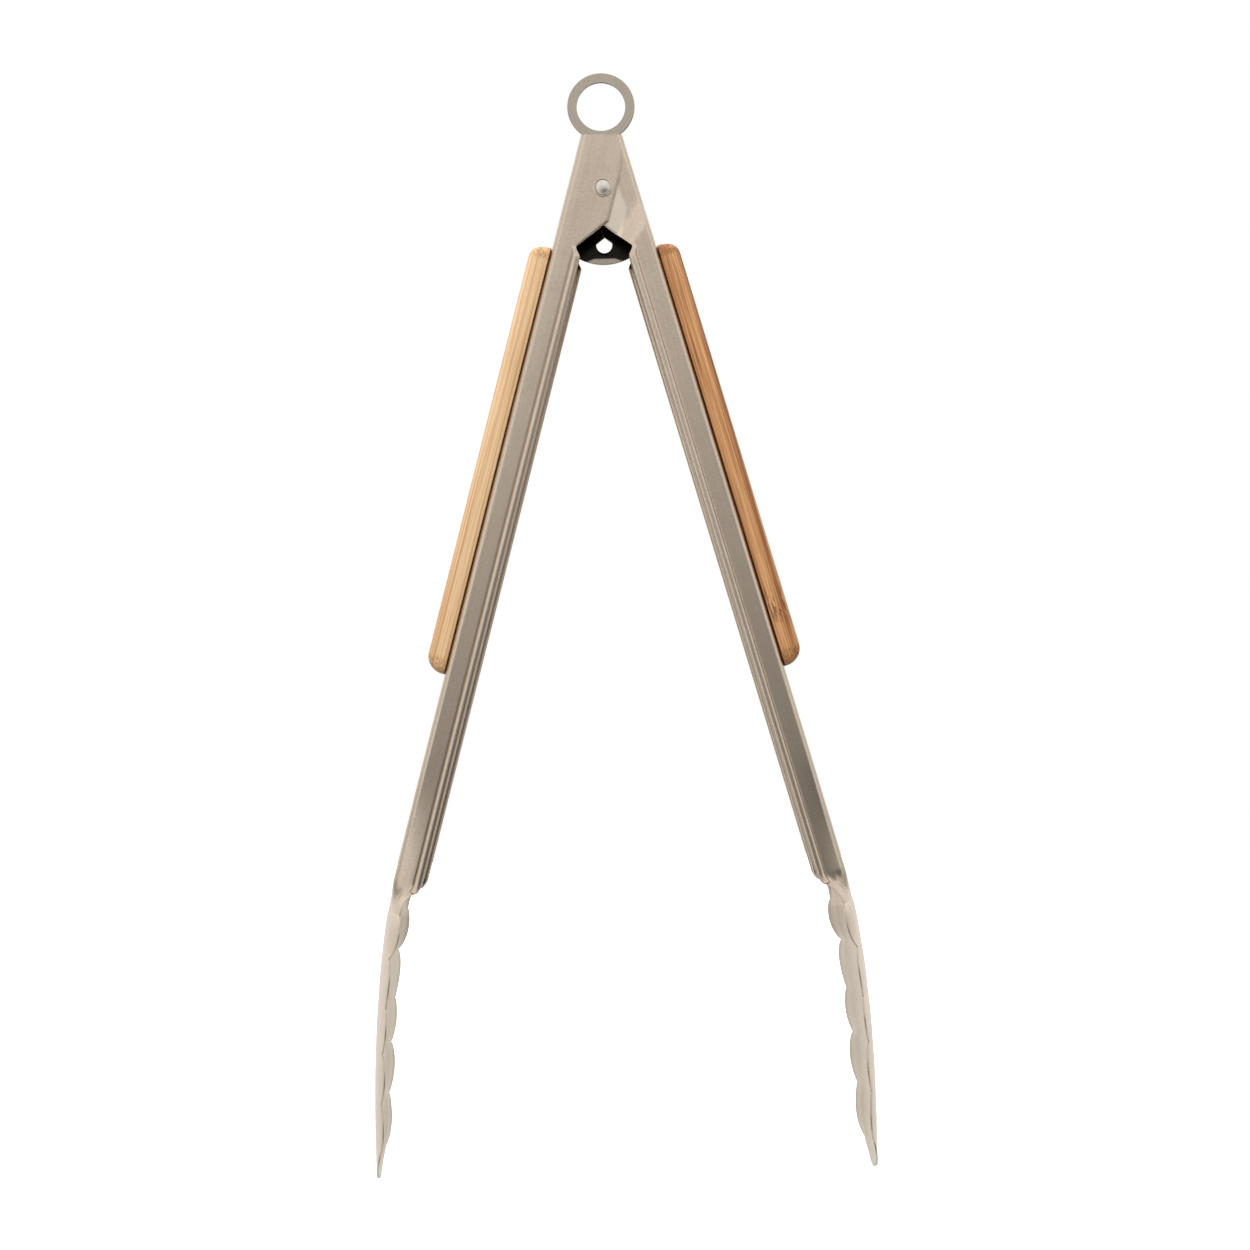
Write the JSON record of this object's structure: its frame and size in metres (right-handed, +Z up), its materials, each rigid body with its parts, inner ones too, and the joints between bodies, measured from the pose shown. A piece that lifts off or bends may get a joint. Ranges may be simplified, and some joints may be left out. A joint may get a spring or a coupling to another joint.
{
  "type": "kitchen tongs",
  "caption": "Spring loaded kitchen tongs with channel arms, scalloped heads, wooden grips, a riveted sprung pivot and a sliding lock plate ending in a hanging ring.",
  "frame": {"origin": "bearing point at the top of the hanging ring's hole, where a hook holds the tongs", "axes": "+Z up along the open tongs' centre line, from the heads to the ring; Y along the pivot rivet, -Y to the front; +X to the right"},
  "size_m": [0.139, 0.0378, 0.3068],
  "materials": {
    "brushed_steel": "satin stainless sheet, grain along the arms",
    "polished_steel": "polished rivet",
    "spring_steel": "drawn wire and plain zinc plated screws",
    "bamboo_light": "oiled bamboo, light strips",
    "bamboo_dark": "oiled bamboo, browner strips"
  },
  "bodies": {
    "pull_ring": {"lock_plate": "brushed_steel"},
    "pivot": {"pivot_rivet": "polished_steel", "pivot_sleeve": "spring_steel", "spacer_tube": "spring_steel", "torsion_spring": "spring_steel"},
    "left_arm": {"left_arm": "brushed_steel", "left_grip": "bamboo_light", "left_grip_screw_upper": "spring_steel", "left_grip_screw_lower": "spring_steel"},
    "right_arm": {"right_arm": "brushed_steel", "right_grip": "bamboo_dark", "right_grip_screw_upper": "spring_steel", "right_grip_screw_lower": "spring_steel"}
  },
  "joints": [
    {"name": "lock_slide", "type": "slide", "parent": "pull_ring", "child": "pivot", "axis": [0, 0, -1], "range_m": [0, 0.014]},
    {"name": "left_arm_hinge", "type": "hinge", "parent": "pivot", "child": "left_arm", "pos_m": [0, 0, -0.0318], "axis": [0, -1, 0], "range_deg": [0, 14], "stiffness_Nm_per_rad": 1, "springref_deg": -14.32, "deforming": ["torsion_spring"]},
    {"name": "right_arm_hinge", "type": "hinge", "parent": "pivot", "child": "right_arm", "pos_m": [0, 0, -0.0318], "axis": [0, 1, 0], "range_deg": [0, 14], "stiffness_Nm_per_rad": 1, "springref_deg": -14.32}
  ],
  "couplings": [
    {"joint": "right_arm_hinge", "follows": "left_arm_hinge", "ratio": 1}
  ]
}
